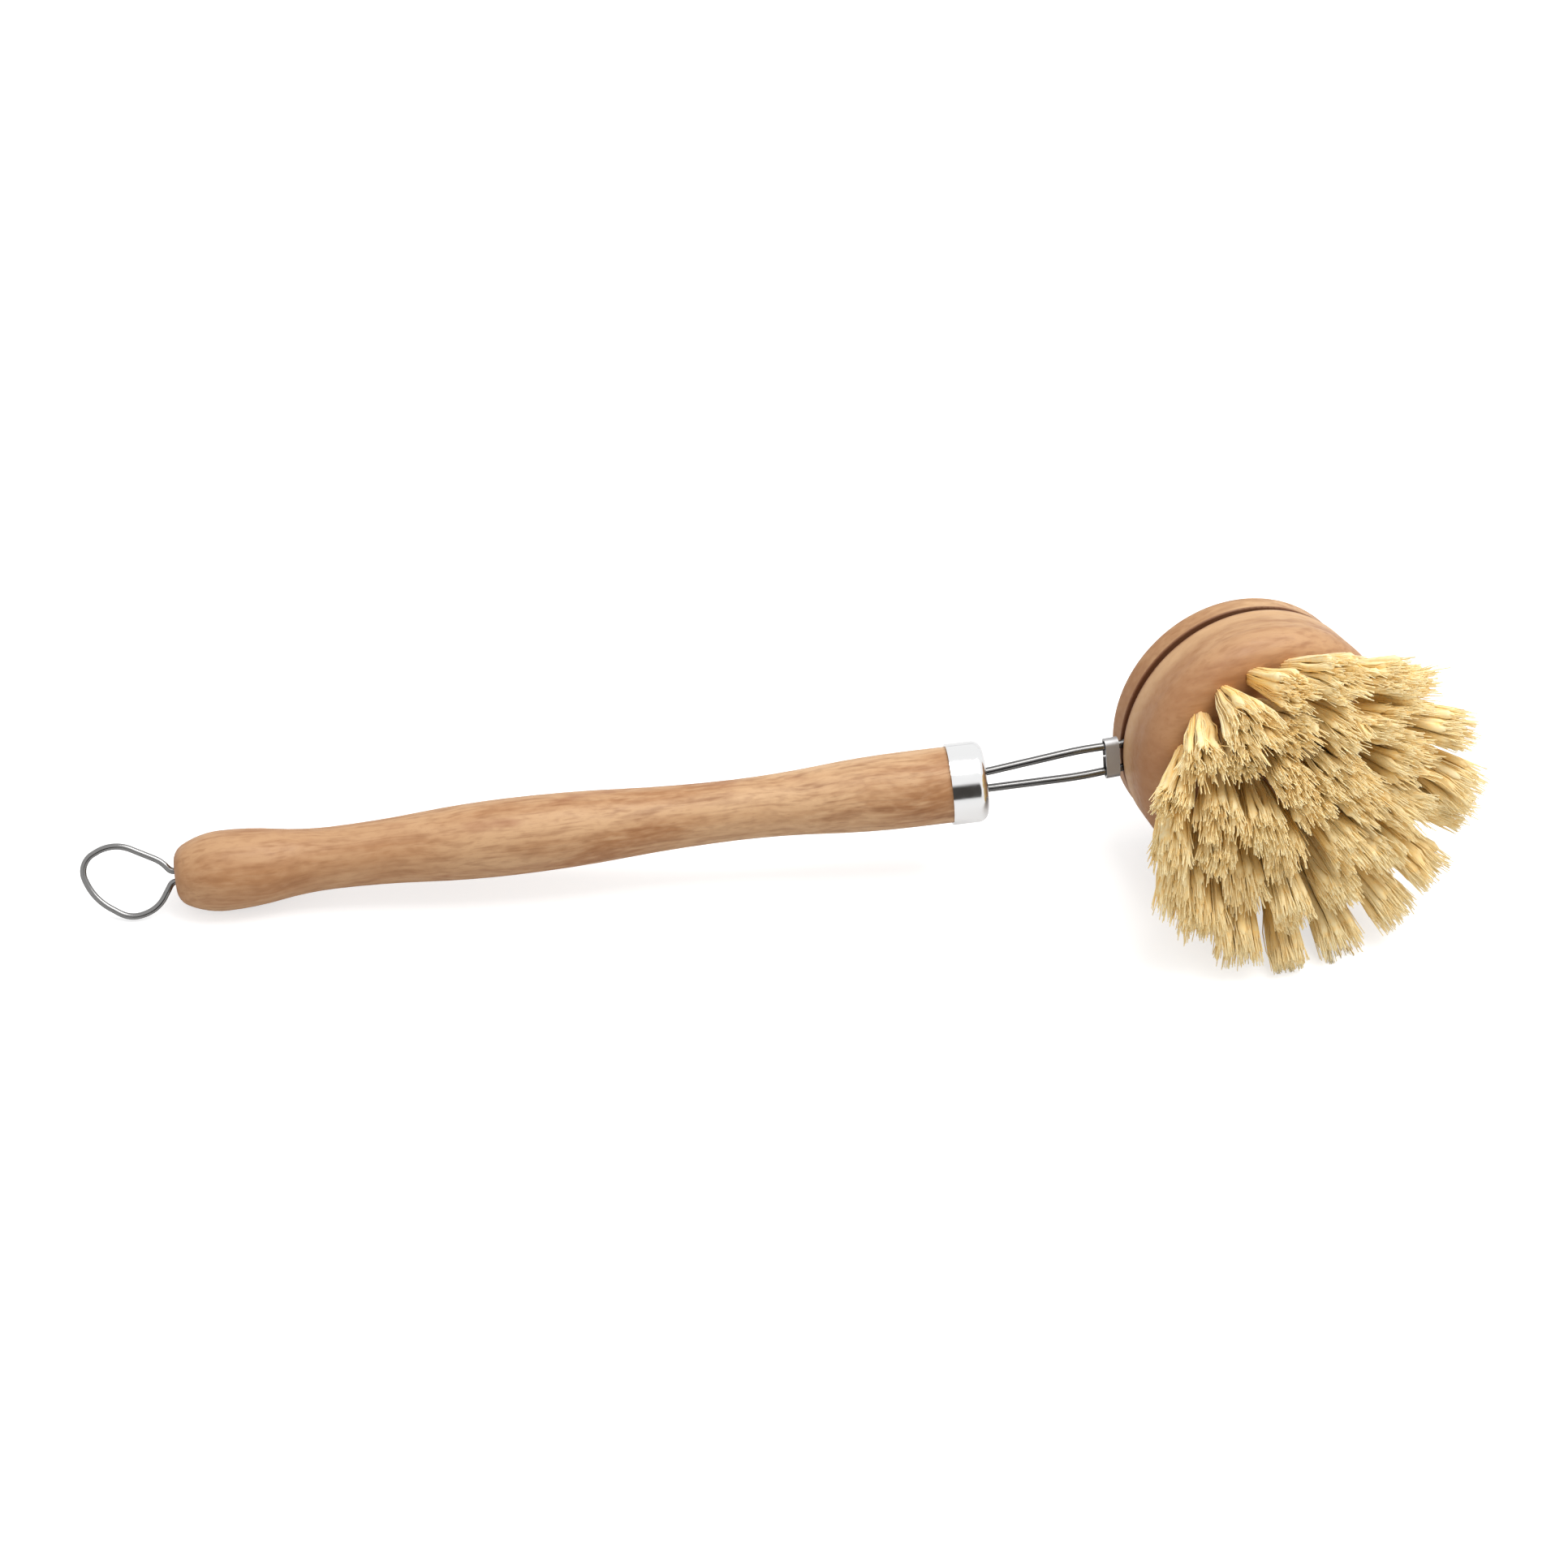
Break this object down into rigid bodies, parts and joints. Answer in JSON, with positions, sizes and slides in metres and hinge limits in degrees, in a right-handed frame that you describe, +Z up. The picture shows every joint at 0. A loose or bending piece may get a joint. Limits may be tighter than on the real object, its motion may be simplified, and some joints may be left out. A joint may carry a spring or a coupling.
{
  "type": "dish brush",
  "caption": "Long wooden-handled dish brush: a round replaceable head of plant-fibre tufts held in a steel wire ring, with a sliding lock clip and a hanging loop at the tail.",
  "frame": {"origin": "middle of the bounding box in X and Y, at the table the brush lies on (Z = 0)", "axes": "+X along the handle from the hanging loop to the head, +Z up from the table, bristles towards -Y; the brush lies on its side as in the picture"},
  "size_m": [0.26, 0.0574, 0.0633],
  "materials": {
    "handle_wood": "satin, fine-grained",
    "head_wood": "plain sanded",
    "polished_steel": "polished",
    "anchor_steel": "plain",
    "bristle_fibre": "matte fibre"
  },
  "bodies": {
    "handle": {"handle": "handle_wood", "ferrule": "polished_steel", "wire_bow": "polished_steel", "hanging_loop": "polished_steel"},
    "clip": {"lock_clip": "polished_steel"},
    "head": {"head_block": "head_wood", "tuft_anchors": "anchor_steel", "tuft_centre_01": "bristle_fibre", "tuft_inner_01": "bristle_fibre", "tuft_inner_02": "bristle_fibre", "tuft_inner_03": "bristle_fibre", "tuft_inner_04": "bristle_fibre", "tuft_inner_05": "bristle_fibre", "tuft_inner_06": "bristle_fibre", "tuft_middle_01": "bristle_fibre", "tuft_middle_02": "bristle_fibre", "tuft_middle_03": "bristle_fibre", "tuft_middle_04": "bristle_fibre", "tuft_middle_05": "bristle_fibre", "tuft_middle_06": "bristle_fibre", "tuft_middle_07": "bristle_fibre", "tuft_middle_08": "bristle_fibre", "tuft_middle_09": "bristle_fibre", "tuft_middle_10": "bristle_fibre", "tuft_middle_11": "bristle_fibre", "tuft_middle_12": "bristle_fibre", "tuft_outer_01": "bristle_fibre", "tuft_outer_02": "bristle_fibre", "tuft_outer_03": "bristle_fibre", "tuft_outer_04": "bristle_fibre", "tuft_outer_05": "bristle_fibre", "tuft_outer_06": "bristle_fibre", "tuft_outer_07": "bristle_fibre", "tuft_outer_08": "bristle_fibre", "tuft_outer_09": "bristle_fibre", "tuft_outer_10": "bristle_fibre", "tuft_outer_11": "bristle_fibre", "tuft_outer_12": "bristle_fibre", "tuft_outer_13": "bristle_fibre", "tuft_outer_14": "bristle_fibre", "tuft_outer_15": "bristle_fibre", "tuft_outer_16": "bristle_fibre", "tuft_outer_17": "bristle_fibre", "tuft_outer_18": "bristle_fibre"}
  },
  "joints": [
    {"name": "clip_slide", "type": "slide", "parent": "handle", "child": "clip", "axis": [-0.9908, -0.1171, -0.0675], "range_m": [0, 0.02]},
    {"name": "head_turn", "type": "hinge", "parent": "handle", "child": "head", "pos_m": [0.08897, 0.01423, 0.02485], "axis": [0.1962, -0.9359, 0.2925], "continuous": true}
  ]
}
